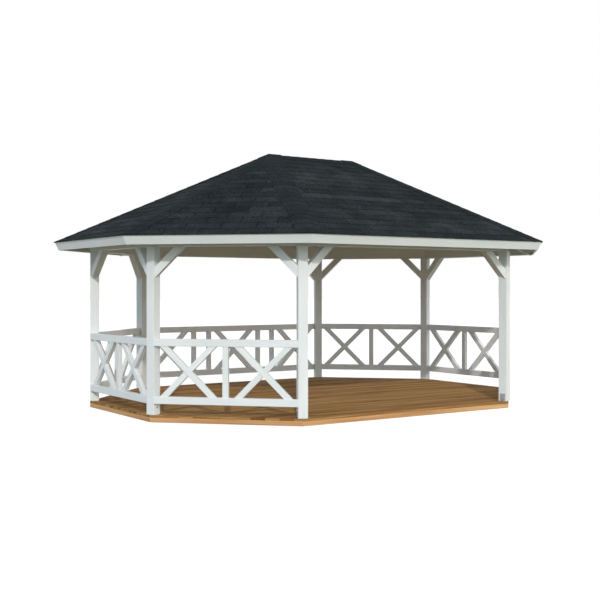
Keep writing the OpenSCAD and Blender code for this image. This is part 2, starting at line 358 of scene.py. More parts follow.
stained_wood = wood(
    "stained_wood", srgb(160, 110, 66), srgb(198, 149, 101), srgb(220, 175, 126),
    srgb(84, 44, 24), 0.68, shine=0.2,
)
parts = []
for i in range(8):
    middle, axes, half = side_frame(i)
    section = axes[[1, 2, 0]]
    centre = (joist_w / 2 - floor_edge, frame_top / 2)
    outline = eased(joist_w, frame_top, board_ease, at=centre)
    left, right = end_planes(i, rim_gap)
    parts.append(carried(outline, middle, section, [left], [right], tone=0.2))
rim_faces = [
    (side_frame(i)[0] + (joist_w - floor_edge) * side_frame(i)[1][1], side_frame(i)[1][1])
    for i in range(8)
]
along_y = np.array([[0, 0, 1.0], [1.0, 0, 0], [0, 1.0, 0]])
joist_xs = joist_pitch * np.arange(-5, 6)
for x in joist_xs:
    outline = eased(frame_top, joist_w, board_ease, at=(frame_top / 2, x))
    side = 1 if x > 0 else 7
    back = 3 if x > 0 else 5
    parts.append(
        carried(
            outline, np.zeros(3), along_y,
            [rim_faces[0], rim_faces[side]], [rim_faces[4], rim_faces[back]],
        )
    )
new_piece("floor_joists_and_rim", parts, stained_wood, "floor_wood", "floor_frame")

# ---- Floor boards ----
# Planed softwood boards, stained brown, laid along the gazebo with narrow gaps
# and sawn off flush with the rim. The outer board at the front and at the rear
# is ripped narrower, and two screws hold each board to each joist.
floor_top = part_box("floor_boards")[1][2]
board_t = floor_top - frame_top
edge_corner = -corners[7][1] + floor_edge * tan(half_turn)
floor_half = -corners[0][1] + floor_edge
board_pitch = 2 * edge_corner / 15
board_gap = 0.005
narrowest_board = 0.020
rim_outsides = [
    (side_frame(i)[0] - floor_edge * side_frame(i)[1][1], side_frame(i)[1][1])
    for i in range(8)
]
along_x = np.array([[0, 1.0, 0], [0, 0, 1.0], [1.0, 0, 0]])
joints = edge_corner + board_pitch * np.arange(-26, 12)
parts = []
board_spans = []
for low in joints:
    y0 = max(low + board_gap / 2, -floor_half)
    y1 = min(low + board_pitch - board_gap / 2, floor_half)
    if y1 - y0 < narrowest_board:
        continue
    board_spans.append((y0, y1))
    middle_y = (y0 + y1) / 2
    centre = (middle_y, (frame_top + floor_top) / 2)
    outline = eased(y1 - y0, board_t, board_ease, at=centre)
    near_front = middle_y < -edge_corner
    near_rear = middle_y > edge_corner
    left, right = (7, 1) if near_front else (5, 3) if near_rear else (6, 2)
    parts.append(
        carried(outline, np.zeros(3), along_x, [rim_outsides[left]], [rim_outsides[right]])
    )
trodden_wood = wood(
    "trodden_wood", srgb(114, 79, 42), srgb(155, 113, 65), srgb(186, 143, 90),
    srgb(76, 44, 24), 0.82, figure=1.5, shine=0.08,
)
new_piece("floor_boarding", parts, trodden_wood, "floor_wood", "floor_boards")


def turned(profile, sides, centres, axes, tone=0.0):
    """Turned or many-sided pieces of one shape. Point (j, k) of each is centre +
    r_k (cos t_j a + sin t_j b) + h_k d, with t_j = j turns / sides and the
    profile's radii r and heights h from the bottom up. Both ends are closed."""
    radius, height = np.transpose(profile)
    t = np.arange(sides) * 2 * pi / sides
    spokes = np.outer(np.cos(t), axes[0]) + np.outer(np.sin(t), axes[1])
    points = radius[:, None, None] * spokes + height[:, None, None] * axes[2]
    points = np.asarray(centres)[:, None] + points.reshape(-1, 3)
    j, k = np.meshgrid(np.arange(sides), np.arange(len(profile) - 1))
    following = (j + 1) % sides
    quads = np.stack(
        [k * sides + j, k * sides + following,
         (k + 1) * sides + following, (k + 1) * sides + j], axis=-1
    )
    top = np.arange(sides) + (len(profile) - 1) * sides
    corners_of_one = np.concatenate([quads.ravel(), np.arange(sides)[::-1], top])
    sizes_of_one = [4] * (sides * (len(profile) - 1)) + [sides, sides]
    count = len(points)
    first = np.arange(count)[:, None] * sides * len(profile)
    return {
        "points": points.reshape(-1, 3),
        "corners": (corners_of_one + first).ravel(),
        "sizes": np.tile(sizes_of_one, count),
        "grain": axes[2],
        "tone": tone,
    }


def metal(name, colour, spots, roughness):
    """Galvanised steel, with the grey flakes and dull patches of its zinc."""
    material, tree, shader = new_material(name)
    place = add(tree, "TexCoord")
    flakes = add(
        tree, "TexVoronoi", {"Vector": place.outputs["Object"], "Scale": 160.0}
    )
    patches = add(
        tree, "TexNoise",
        {"Vector": place.outputs["Object"], "Scale": 30.0, "Detail": 5.0},
    )
    mixed = sum_of(tree, (flakes.outputs["Color"], 0.5), (patches.outputs["Fac"], 0.5))
    shades = ramp(tree, mixed, (0.25, spots), (0.75, colour))
    tree.links.new(shades, shader.inputs["Base Color"])
    set_gloss(tree, shader, mixed, roughness - 0.12, roughness + 0.12)
    shader.inputs["Metallic"].default_value = 0.85
    set_relief(tree, shader, patches.outputs["Fac"], 0.2, 0.0004)
    return material


zinc_steel = metal("zinc_steel", srgb(196, 200, 204), srgb(150, 156, 162), 0.42)
screw_profile = [
    (0.0035, -0.001), (0.0045, 0), (0.0042, 0.0005), (0.0016, 0.0006), (0.0012, 0.0002),
]
screw_inset = 0.022
screw_end = 0.06
spots = []
for y0, y1 in board_spans:
    inset = min(screw_inset, (y1 - y0) / 4)
    for y in (y0 + inset, y1 - inset):
        reach_x = np.interp(
            abs(y), [edge_corner, floor_half],
            [corners[2][0] + floor_edge, corners[1][0] + floor_edge * tan(half_turn)],
        )
        spots += [(x, y, floor_top) for x in joist_xs if abs(x) < reach_x - screw_end]
new_piece(
    "floor_screws", [turned(screw_profile, 8, spots, np.eye(3))], zinc_steel, "zinc_steel"
)

# ---- Post shoes ----
# Folded shoes of hot-dip galvanised steel: the base is screwed to the floor and
# a plate runs up one side face of each post. One bolt through the plate and the
# post holds it, with a washer under its head and under its nut.
shoe_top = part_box("post_shoes")[1][2]
shoe_t = 0.004
shoe_w = 0.068
shoe_h = shoe_top - floor_top
post_w = 0.115


def post_axes(i):
    """Unit vectors of post i: outwards along the corner's bisector, to its left
    seen from above, and up."""
    turn = i * pi / 4 - pi / 2 - half_turn
    outwards = np.array([cos(turn), sin(turn), 0])
    return np.array([outwards, [-outwards[1], outwards[0], 0], [0, 0, 1]])


def post_place(i, z):
    """Point on the centre line of post i at height z."""
    return np.array([*corners[i], z])


def shoe_outline(width, height, wall, bend):
    """Outline of a folded L, anticlockwise from the free end of its base: the
    outside of the fold is a quarter turn of radius bend, the inside is sharp."""
    t = np.linspace(0, pi / 2, 5)
    fold = np.stack([-np.sin(t), -np.cos(t)], axis=1)[::-1] * bend
    edge = -width / 2 - wall
    walls = [
        (width / 2, 0), (width / 2, wall), (-width / 2, wall),
        (-width / 2, height), (edge, height),
    ]
    return np.concatenate([walls, fold + (edge + bend, bend)])


parts = []
fixings = []
outline = shoe_outline(post_w, shoe_h, shoe_t, 0.005)
washer = [(0.0105, 0), (0.0105, 0.002)]
head = [(0.0075, 0.002), (0.0075, 0.0072), (0.0066, 0.0084)]
nut = [(0.0078, 0.002), (0.0078, 0.0085), (0.0045, 0.0086), (0.0045, 0.0115)]
bolt_drop = 0.011
for i in range(8):
    out, left, up = post_axes(i)
    place = post_place(i, floor_top)
    shoe_axes = np.array([left, up, out])
    parts.append(
        carried(
            outline, place, shoe_axes,
            [(place - out * shoe_w / 2, out)], [(place + out * shoe_w / 2, out)],
        )
    )
    height = up * (shoe_h - bolt_drop)
    for sign, wall, profile in ((-1, shoe_t, head), (1, 0, nut)):
        face = place + height + sign * left * (post_w / 2 + wall)
        axes = np.array([up, np.cross(sign * left, up), sign * left])
        fixings.append(turned(washer, 20, [face], axes))
        fixings.append(turned(profile, 6, [face], axes))
shoes = new_piece("galvanised_post_shoes", parts, zinc_steel, "zinc_steel", "post_shoes")
edge_round = shoes.modifiers.new("edges", "BEVEL")
edge_round.width = 0.0008
edge_round.segments = 2
edge_round.limit_method = "ANGLE"
new_piece("shoe_bolts", fixings, zinc_steel, "zinc_steel")

# ---- Posts ----
# Square planed posts of laminated spruce with rounded edges, painted white. They
# stand in their shoes, a few millimetres clear of the floor boards.
post_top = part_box("post_front_left")[1][2]
ease = 0.005


def paint(name, light, shaded, roughness):
    """Opaque white paint on planed wood: brush marks and raised grain along the
    timber, faint clouding and dust, and a slightly thinner coat on the ridges
    of the grain."""
    material, tree, shader = new_material(name)
    cloud = grain_noise(tree, 1.2, 5, detail=3)
    strokes = grain_noise(tree, 3.5, 130, detail=3)
    fibres = grain_noise(tree, 9, 520, detail=4)
    tone = add(tree, "Attribute", attribute_name="tone")
    shade = sum_of(
        tree, (cloud, 0.5), (strokes, 0.35), (fibres, 0.2), (tone.outputs["Fac"], 0.04)
    )
    tree.links.new(
        ramp(tree, shade, (0.34, shaded), (0.62, light)), shader.inputs["Base Color"]
    )
    set_gloss(tree, shader, strokes, roughness - 0.08, roughness + 0.1)
    height = sum_of(tree, (strokes, 0.6), (fibres, 0.4))
    set_relief(tree, shader, height, 0.22, 0.0008)
    return material


white_paint = paint("white_paint", srgb(230, 231, 230), srgb(216, 218, 218), 0.5)
for i, node in enumerate(POSTS):
    axes = post_axes(i)
    base = post_place(i, floor_top + shoe_t)
    top = post_place(i, post_top)
    timber = carried(
        eased(post_w, post_w, ease, 3), base, axes, [(base, axes[2])], [(top, axes[2])]
    )
    new_piece(node.replace("post_", "planed_post_"), [timber], white_paint, "white_paint", node)

# ---- Railings ----
# Each railing has two rails between its posts, upright balusters, and in each
# bay two bars crossed at 45 degrees. The falling bar is in one piece and the
# rising one is cut to fit on both sides of it. All planed, eased and painted.
RAILINGS = {i: f"railing_{name}" for i, name in enumerate(SIDES) if i > 0}
face_out = post_w / 2 * (cos(half_turn) + sin(half_turn))
rail_w = 0.070
rail_h = 0.087
bar_w = 0.070
bar_d = 0.054
bar_ease = 0.004
rails_low, rails_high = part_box("railing_front_left")
low = rails_low[2] + rail_h
high = rails_high[2] - rail_h
short_half = side_frame(1)[2]
post_edge = (post_w / 2 - face_out * sin(half_turn)) / cos(half_turn)
bay_clear = short_half - post_edge - bar_w / 2
cross_gap = 0.0006


def post_faces(i):
    """The side faces of the two posts that face into side i, as planes."""
    return [(point + normal * post_w / 2, normal) for point, normal in end_planes(i)]


def level(z):
    """Level plane at height z."""
    return np.array([0, 0, z]), np.array([0, 0, 1.0])


for i, node in RAILINGS.items():
    middle, (along, inwards, up), half = side_frame(i)
    left, right = post_faces(i)
    rail_axes = np.array([inwards, up, along])
    parts = []
    bar_in = rail_w / 2 - face_out
    for z in (rails_low[2], high):
        outline = eased(rail_w, rail_h, ease, 3, at=(bar_in, z + rail_h / 2))
        parts.append(carried(outline, middle, rail_axes, [left], [right]))
    bars = [0]
    crosses = [post_edge + bay_clear / 2 - half, half - post_edge - bay_clear / 2]
    if i == 4:
        end_bar = half - short_half
        mid_bar = (bay_clear + bar_w) / 2
        bars = [-end_bar, -mid_bar, mid_bar, end_bar]
        crosses.insert(1, 0)
    for x in bars:
        outline = eased(bar_w, bar_d, bar_ease, at=(x, bar_in))
        bar_axes = np.array([along, inwards, up])
        parts.append(carried(outline, middle, bar_axes, [level(low)], [level(high)]))
    for x in crosses:
        centre = middle + x * along + bar_in * inwards + (low + high) / 2 * up
        outline = eased(bar_d, bar_w, bar_ease)
        fall = (along - up) / sqrt(2)
        rise = (along + up) / sqrt(2)
        fall_axes = np.array([inwards, np.cross(fall, inwards), fall])
        rise_axes = np.array([inwards, np.cross(rise, inwards), rise])
        parts.append(carried(outline, centre, fall_axes, [level(high)], [level(low)]))
        for plane, side in ((level(low), -1), (level(high), 1)):
            joint = (centre + side * (bar_w / 2 + cross_gap) * rise, rise)
            ends = ([plane], [joint]) if side < 0 else ([joint], [plane])
            parts.append(carried(outline, centre, rise_axes, *ends))
    name = node.replace("railing_", "crossed_railing_")
    new_piece(name, parts, white_paint, "white_paint", node)

# ---- Knee braces ----
# Short planed braces at 45 degrees, painted white. Each is screwed to the side
# face of a post and to the underside of the ring beam, and is as thick as the
# beam, so that both its faces are flush with it.
set_back = 0.015
beam_out = face_out - set_back
brace_leg = 0.376
brace_w = 0.092
brace_d = 0.090
parts = []
for i in range(8):
    middle, (along, inwards, up), half = side_frame(i)
    for plane, side in zip(post_faces(i), (1, -1)):
        reach_x = brace_leg - brace_w / sqrt(2)
        foot = middle - side * (half - post_edge) * along + (post_top - reach_x) * up
        foot = foot + (brace_d / 2 - beam_out) * inwards
        rise = (side * along + up) / sqrt(2)
        brace_axes = np.array([inwards, np.cross(rise, inwards), rise])
        outline = eased(brace_d, brace_w, ease, 3)
        parts.append(carried(outline, foot, brace_axes, [plane], [level(post_top)]))
new_piece("planed_knee_braces", parts, white_paint, "white_paint", "knee_braces")

# ---- Ring beams ----
# Laminated spruce beams, painted white, lie on the posts all round. Their ends
# are mitred over the middle of each post, where they are bolted together.
beam_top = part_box("corner_beams")[1][2]
beam_w = 0.090
beam_h = beam_top - post_top
mitre_gap = 0.0004
for first, name, node in ((0, "long_side_and_end_beams", "long_and_end_beams"),
                          (1, "corner_side_beams", "corner_beams")):
    parts = []
    for i in range(first, 8, 2):
        middle, axes, half = side_frame(i)
        centre = (beam_w / 2 - beam_out, (post_top + beam_top) / 2)
        outline = eased(beam_w, beam_h, ease, 3, at=centre)
        left, right = end_planes(i, mitre_gap)
        parts.append(carried(outline, middle, axes[[1, 2, 0]], [left], [right]))
    new_piece(name, parts, white_paint, "white_paint", node)

# ---- Ridge beam and hubs ----
# A short ridge beam with its top planed to the two slopes joins two eight-sided
# hubs, and the hip rafters meet on the flats of the hubs. All the roof timber
# is planed spruce, painted white like the posts.
pitch = radians(25)
roof_t = 0.018
ridge_half = (np.linalg.norm(corners[1] - corners[0]) - 2 * short_half) / 2
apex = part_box("roof_front")[1][2]
ridge_w = 0.050
ridge_h = 0.150
hub_r = 0.090
hub_h = 0.225
chamfer = 0.004


def slope_z(distance, depth):
    """Height of the roof at that depth under the top of its boards, square to
    the slope, and at that level distance out from the ridge line."""
    return apex - distance * tan(pitch) - depth / cos(pitch)


ridge_z = slope_z(0, roof_t)
side_z = slope_z(ridge_w / 2, roof_t)
outline = np.array([
    [-ridge_w / 2, ridge_z - ridge_h + chamfer], [chamfer - ridge_w / 2, ridge_z - ridge_h],
    [ridge_w / 2 - chamfer, ridge_z - ridge_h], [ridge_w / 2, ridge_z - ridge_h + chamfer],
    [ridge_w / 2, side_z], [0, ridge_z], [-ridge_w / 2, side_z],
])
x_axis = along_x[2]
ends = [(np.array([s * (ridge_half - hub_r), 0, 0]), x_axis) for s in (-1, 1)]
parts = [carried(outline, np.zeros(3), along_x, ends[:1], ends[1:])]
hub_corner = hub_r / cos(half_turn)
hub_end = 0.094
hub_top = slope_z(hub_corner, roof_t)
hub_profile = [
    (hub_end, -hub_h), (hub_corner, chamfer - hub_h), (hub_corner, -0.001), (hub_end, 0),
]
hub_turn = np.array([
    [cos(half_turn), sin(half_turn), 0], [-sin(half_turn), cos(half_turn), 0], [0, 0, 1]
])
for s in (-1, 1):
    parts.append(turned(hub_profile, 8, [(s * ridge_half, 0, hub_top)], hub_turn, tone=0.3 * s))
new_piece("ridge_beam_and_hubs", parts, white_paint, "white_paint", "ridge_beam")

# ---- Hip rafters ----
# One under each of the eight hips, from its hub down over the ring beam to the
# mitre of the fascia. The top is backed, planed to both slopes.
hip_w = 0.050
hip_d = 0.120
fascia_t = 0.020
eave_u = -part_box("fascia_front")[0][1] / cos(pitch)
tail_u = eave_u - fascia_t


def ridge_end(i):
    """The ridge end where the hip over corner i starts, at the top of the roof
    boards."""
    return np.array([ridge_half if 1 <= i % 8 <= 4 else -ridge_half, 0, apex])


def slope_axes(i):
    """Unit vectors of the roof over side i: out of the slope, down the slope and
    along the eave."""
    _, (along, inwards, up), _ = side_frame(i)
    out = cos(pitch) * up - sin(pitch) * inwards
    down = -cos(pitch) * inwards - sin(pitch) * up
    return np.array([out, down, along])


def slope_origin(i):
    """Where the middle line of the roof over side i meets the ridge line."""
    return np.array([0, 0, apex]) if i % 4 == 0 else ridge_end(i)


def hip_axes(i):
    """Unit vectors of the hip over corner i: out of the roof, square to the hip
    and level, and down the hip."""
    turn = i * pi / 4 - pi / 2 - half_turn
    fall = tan(pitch) * cos(half_turn)
    down = np.array([cos(turn), sin(turn), -fall]) / sqrt(1 + fall ** 2)
    level_axis = np.array([-sin(turn), cos(turn), 0])
    return np.array([np.cross(down, level_axis), level_axis, down])


parts = []
for i in range(8):
    out, across, down = hip_axes(i)
    top = ridge_end(i) - np.array([0, 0, roof_t / cos(pitch)])
    backing = hip_w / 2 * tan(pitch) * sin(half_turn) * out[2]
    outline = np.array([
        [0, 0], [-backing, -hip_w / 2], [-hip_d + chamfer, -hip_w / 2],
        [-hip_d, chamfer - hip_w / 2], [-hip_d, hip_w / 2 - chamfer],
        [-hip_d + chamfer, hip_w / 2], [-backing, hip_w / 2],
    ])
    outwards = post_axes(i)[0]
    hub_face = (ridge_end(i) + hub_r * outwards, outwards)
    tails = []
    for side in (i, (i + 7) % 8):
        slope = slope_axes(side)
        tails.append((slope_origin(side) + tail_u * slope[1], slope[1]))
    # The section is (out, across), so that out x across points down the hip.
    parts.append(carried(outline[::-1], top, np.array([out, -across, down]), [hub_face], tails))
new_piece("backed_hip_rafters", parts, white_paint, "white_paint", "hip_rafters")

# ---- Common and jack rafters ----
# Planed rafters carry the boards between the hips. Each has a seat cut over the
# ring beam. On the long sides the inner ones start at the ridge beam and the
# jacks start at a hip. Each short side has one in its middle.
rafter_w = 0.045
rafter_d = 0.095
hub_gap = 0.003
reach = -corners[0][1]
seat = 0.017


def rafter_outline(start):
    """Side view of a rafter, as distance out from the ridge and height, from the
    plumb cut at start to the tail, with a seat cut whose level part meets the
    ring beam's top."""
    low_depth = roof_t + rafter_d
    top_tail = np.array([tail_u * cos(pitch), apex - tail_u * sin(pitch)])
    into = np.array([-sin(pitch), -cos(pitch)])
    heel = reach + beam_out
    return np.array([
        [start, slope_z(start, roof_t)], top_tail + roof_t * into, top_tail + low_depth * into,
        [heel, slope_z(heel, low_depth)], [heel, beam_top],
        [heel - seat / tan(pitch), beam_top], [start, slope_z(start, low_depth)],
    ])


def spaced(a, b, most=0.620):
    """Evenly spaced places from a to b, no more than most apart, without b."""
    steps = int(np.ceil((b - a) / most - 1e-9))
    return [a + k * (b - a) / steps for k in range(steps)]


long_half = side_frame(0)[2]
eave_half = long_half + (eave_u * cos(pitch) - reach) * tan(half_turn)
ridge_last = ridge_half - hub_corner - rafter_w / 2 - hub_gap
hip_clear = hip_w / 2 / sin(half_turn)
short_start = (rafter_w / 2 + hip_w / 2 / cos(half_turn)) / tan(half_turn)
places = spaced(0, ridge_last) + spaced(ridge_last, eave_half)
parts = []
for i in range(8):
    _, (along, inwards, up), _ = side_frame(i)
    origin = slope_origin(i) * (1, 1, 0)
    rafter_axes = np.array([-inwards, up, -along])
    xs = [s * p for p in places for s in ((1, -1) if p else (1,))] if i % 4 == 0 else [0]
    for x in xs:
        edges = np.array([x + rafter_w / 2, x - rafter_w / 2])
        if i % 4:
            starts = [short_start, short_start]
        elif abs(x) < ridge_half:
            starts = [ridge_w / 2, ridge_w / 2]
        else:
            starts = (abs(edges) - ridge_half) / tan(half_turn) + hip_clear
        outlines = np.array([rafter_outline(start)[::-1] for start in starts])
        ends = [(origin + edge * along, along) for edge in edges]
        parts.append(
            carried(outlines, origin, rafter_axes, ends[:1], ends[1:], grain=slope_axes(i)[1])
        )
new_piece("common_and_jack_rafters", parts, white_paint, "white_paint", "common_rafters")

# ---- Roof boards ----
# Matched spruce boards, nailed across the rafters parallel to the eaves and
# painted white underneath, where their edges show as V grooves. They are sawn
# along the hips.
painted_boarding = paint("painted_boarding", srgb(224, 225, 222), srgb(208, 210, 208), 0.55)
cover = 0.096
groove = 0.004
point_u = 0.012
for i, side_name in enumerate(SIDES):
    axes = slope_axes(i)
    origin = slope_origin(i)
    hips = end_planes(i)
    joints = np.arange(tail_u, 0.03, -cover)[::-1]
    # Where the hips meet, the short sides' top boards are cut off blunt.
    joints[0] = 0.0 if i % 4 == 0 else point_u
    parts = []
    for u0, u1 in zip(joints[:-1], joints[1:]):
        outline = np.array([
            [0, u0], [0, u1], [-roof_t + groove, u1], [-roof_t, u1 - groove],
            [-roof_t, u0 + groove], [-roof_t + groove, u0],
        ])
        parts.append(carried(outline, origin, axes, hips[:1], hips[1:]))
    new_piece(
        f"roof_boarding_{side_name}", parts, painted_boarding, "roof_boards",
        f"roof_{side_name}",
    )

# ---- Fascia ----
# Planed boards, painted white, nailed to the rafter tails square to the slope
# and mitred at the eight corners.
fascia_w = 0.116
for i, side_name in enumerate(SIDES):
    axes = slope_axes(i)
    centre = (-fascia_w / 2, tail_u + fascia_t / 2)
    outline = eased(fascia_w, fascia_t, board_ease, at=centre)
    left, right = end_planes(i, mitre_gap)
    board = carried(outline, slope_origin(i), axes, [left], [right])
    new_piece(f"mitred_fascia_{side_name}", [board], white_paint, "white_paint",
              f"fascia_{side_name}")

# ---- Shingles ----
# Rectangular bitumen shingles with slate granules, nailed in courses from the
# eaves up. The tabs of each course are half a tab out of step with the course
# below, and each butt stands a few millimetres proud of it.
exposure = 0.1732
tab_w = 0.4225
slot = 0.009
lip = 0.012
butt_h = 0.0086
head_h = 0.0040
felt_h = 0.0020
hidden = 0.012
narrowest_tab = 0.004
shortest_tab = 0.020
tip_w = 0.002
tabs_in_strip = 3


def granules(name, dark, middle, light, tint):
    """Bitumen felt dressed with crushed slate: a grain of light and dark
    granules, a shade for each tab, cloudy patches and a faint green tint."""
    material, tree, shader = new_material(name)
    place = add(tree, "TexCoord").outputs["Object"]
    grit = add(tree, "TexVoronoi", {"Vector": place, "Scale": 420.0})
    coarse = add(tree, "TexNoise", {"Vector": place, "Scale": 60.0, "Detail": 4.0})
    cloud = add(tree, "TexNoise", {"Vector": place, "Scale": 3.2, "Detail": 4.0})
    hue = add(tree, "TexNoise", {"Vector": place, "Scale": 1.7, "Detail": 2.0})
    tone = add(tree, "Attribute", attribute_name="tone")
    shade = sum_of(
        tree, (grit.outputs["Color"], 0.25), (coarse.outputs["Fac"], 1.1),
        (cloud.outputs["Fac"], 0.4), (tone.outputs["Fac"], 0.07),
    )
    level = add(tree, "MapRange", {"Value": shade, "From Min": 0.62, "From Max": 1.14})
    body = ramp(tree, level.outputs[0], (0, dark), (0.5, middle), (1, light))
    patch = add(
        tree, "MapRange",
        {"Value": hue.outputs["Fac"], "From Min": 0.52, "From Max": 0.7, "To Max": 0.55},
    )
    colour = blend(tree, patch.outputs[0], body, tint)
    tree.links.new(colour, shader.inputs["Base Color"])
    shader.inputs["Roughness"].default_value = 1.0
    shader.inputs["Specular IOR Level"].default_value = 0.05
    height = sum_of(tree, (grit.outputs["Distance"], 0.6), (coarse.outputs["Fac"], 0.4))
    set_relief(tree, shader, height, 0.5, 0.0015)
    return material


slate_granules = granules(
    "slate_granules", srgb(20, 23, 25), srgb(36, 40, 43), srgb(62, 66, 69), srgb(34, 44, 45)
)


def slabs(top, bottom, tones, grain):
    """Closed slabs from grids of points. top and bottom have the shape (slabs,
    rows, columns, 3), with rows down the slope and columns to the right seen
    from outside, and the walls join their outlines."""
    count, rows, columns = top.shape[:3]
    n = rows * columns
    grid = np.arange(n).reshape(rows, columns)
    upper = np.stack([grid[1:, :-1], grid[1:, 1:], grid[:-1, 1:], grid[:-1, :-1]], axis=-1)
    lower = upper[..., ::-1] + n
    rim = np.concatenate([grid[-1, :-1], grid[:0:-1, -1], grid[0, :0:-1], grid[:-1, 0]])
    following = np.roll(rim, -1)
    walls = np.stack([rim, rim + n, following + n, following], axis=1)
    one = np.concatenate([upper.reshape(-1, 4), lower.reshape(-1, 4), walls])
    first = np.arange(count)[:, None, None] * 2 * n
    points = np.stack([top, bottom], axis=1).reshape(-1, 3)
    quads = (one + first).reshape(-1, 4)
    return {
        "points": points, "corners": quads.ravel(), "sizes": np.full(len(quads), 4),
        "grain": grain, "tone": 0.0, "tones": np.repeat(tones, len(one)),
    }


def set_tones(piece, parts):
    """Gives every slab of the piece its own shade."""
    tones = np.concatenate([part["tones"] for part in parts])
    piece.data.attributes["tone"].data.foreach_set("value", tones)


courses = int((eave_u + lip) / exposure)
half_w = (tab_w - slot) / 2
hip_spread = cos(pitch) * tan(half_turn)
parts = []
for i in range(8):
    out, down, along = slope_axes(i)
    origin = slope_origin(i)
    start_half = ridge_half if i % 4 == 0 else 0
    course, m = np.meshgrid(np.arange(courses + 1), np.arange(-7, 8), indexing="ij")
    course, m = course.ravel(), m.ravel()
    butt = eave_u + lip - course * exposure
    centre = (m + 0.5 * (course % 2)) * tab_w
    ragged = rng.uniform(-0.0012, 0.0012, len(m)) * (course > 0)
    u = np.stack([np.maximum(butt - exposure - hidden, 0.003), butt + ragged], axis=1)
    s = np.stack([centre - half_w, centre + half_w], axis=1)
    limit = (start_half + u * hip_spread)[:, :, None]
    s = np.clip(s[:, None, :], -limit, limit)
    width = s[:, :, 1] - s[:, :, 0]
    kept = (width.max(axis=1) > narrowest_tab) & (u[:, 1] - u[:, 0] > shortest_tab)
    # A tab that a hip cuts to a point ends in a short edge instead.
    s += np.where(width < tip_w, tip_w / 2, 0)[:, :, None] * (-1, 1)
    s, u = s[kept], u[kept]
    rise = rng.uniform(-0.0004, 0.0004, len(u))
    n = np.stack([np.full(len(u), head_h), butt_h + rise], axis=1)
    across = s[..., None] * along + u[:, :, None, None] * down
    top = origin + across + n[:, :, None, None] * out
    bottom = origin + across + felt_h * out
    # Tabs of one strip were pressed together and share some of their shade.
    strip = course[kept] * 40 + (m[kept] + 20) // tabs_in_strip
    tones = rng.normal(0, 0.55, 4000)[strip] + rng.normal(0, 0.5, len(u))
    tones = np.clip(tones, -1.4, 1.4)
    parts.append(slabs(top, bottom, tones, down))
field = new_piece("shingle_courses", parts, slate_granules, "shingles", "shingle_covering")
set_tones(field, parts)

# ---- Underlay ----
# A sheet of bitumen felt lies on the boards of each slope, and shows in the
# slots between the tabs. Its near-black colour is painted shade: it stands for
# the course below, which lies in shadow in those slots.
felt_low = 0.0004
felt_edge = eave_u + lip - 0.004
parts = []
for i in range(8):
    start_u = 0.0 if i % 4 == 0 else point_u
    outline = np.array([
        [felt_h - felt_low, start_u], [felt_h - felt_low, felt_edge],
        [felt_low, felt_edge], [felt_low, start_u],
    ])
    hips = end_planes(i)
    parts.append(carried(outline, slope_origin(i), slope_axes(i), hips[:1], hips[1:]))
# Colours far darker than the tabs' granules: painted shade for the slots.
felt_painted_slot_shade = granules(
    "felt_painted_slot_shade", srgb(8, 9, 10), srgb(12, 13, 14), srgb(18, 20, 21), srgb(12, 14, 14)
)
new_piece("underlay_painted_slot_shade", parts, felt_painted_slot_shade, "shingles")

# ---- Hip and ridge caps ----
# Cap shingles folded over the hips and the ridge, each lapping the one below,
# with one wider cap over each ridge end where the hips meet.
cap_half = 0.150
cap_exposure = 0.160
cap_butt = 0.0132
cap_head = 0.0100
cap_under = 0.0050
fold = 0.010
hip_fall = tan(pitch) * cos(half_turn)
hip_length = np.linalg.norm([1, hip_fall]) * eave_u * cos(pitch) / cos(half_turn)
foot = hip_length + lip / cos(half_turn) - 0.002
slate_caps = granules(
    "slate_caps", srgb(22, 26, 29), srgb(34, 39, 42), srgb(50, 55, 58), srgb(32, 42, 43)
)


def folded(start, along, columns, height):
    """Grid of cap points. Row by row, a column (far, v, out, across) holds start +
    far along + v across + height out."""
    return np.stack(
        [start + far[..., None] * along + v[..., None] * across + height[..., None] * out
         for far, v, out, across in columns], axis=2
    )


parts = []
for i in range(8):
    down = hip_axes(i)[2]
    wings = []
    for side, sign in (((i + 7) % 8, -1), (i, 1)):
        out = slope_axes(side)[0]
        q = np.cross(out, down)
        wings.append((out, q if q @ slope_axes(side)[2] * sign > 0 else -q, side))
    tips = foot - cap_exposure * np.arange(40)
    tips = tips[tips > 0.13]
    t = np.stack([np.maximum(tips - cap_exposure - hidden, 0.05), tips], axis=1)
    n_top = np.stack([np.full(len(t), cap_head), np.full(len(t), cap_butt)], axis=1)
    columns = []
    for (out, q, side), order in zip(wings, ((1, 0), (0, 1))):
        widest = np.full_like(t, cap_half)
        if side % 4:
            widest = np.minimum(widest, t * hip_spread)
        for which in order:
            v = np.where(which, widest, fold)
            # The foot of the lowest cap follows the two eaves.
            columns.append((np.minimum(t, foot - v * hip_spread), v, out, q))
    top = folded(ridge_end(i), down, columns, n_top)
    bottom = folded(ridge_end(i), down, columns, np.full_like(n_top, cap_under))
    parts.append(slabs(top, bottom, rng.normal(0, 0.5, len(t)), down))

# Nine caps along the ridge, a millimetre lower than those on the hips.
x = np.linspace(-ridge_half + 0.06, ridge_half - 0.06, 10)
span = np.stack([x[:-1] - 0.01, x[1:]], axis=1)
n_top = np.stack([np.full(9, cap_head - 0.001), np.full(9, cap_butt - 0.001)], axis=1)
front, rear = slope_axes(0), slope_axes(4)
columns = [
    (span, np.full_like(span, v), out, down)
    for v, (out, down, _) in ((cap_half, front), (fold, front), (fold, rear), (cap_half, rear))
]
peak = np.array([0, 0, apex])
top = folded(peak, x_axis, columns, n_top)
bottom = folded(peak, x_axis, columns, np.full_like(n_top, cap_under))
parts.append(slabs(top, bottom, rng.normal(0, 0.5, 9), x_axis))


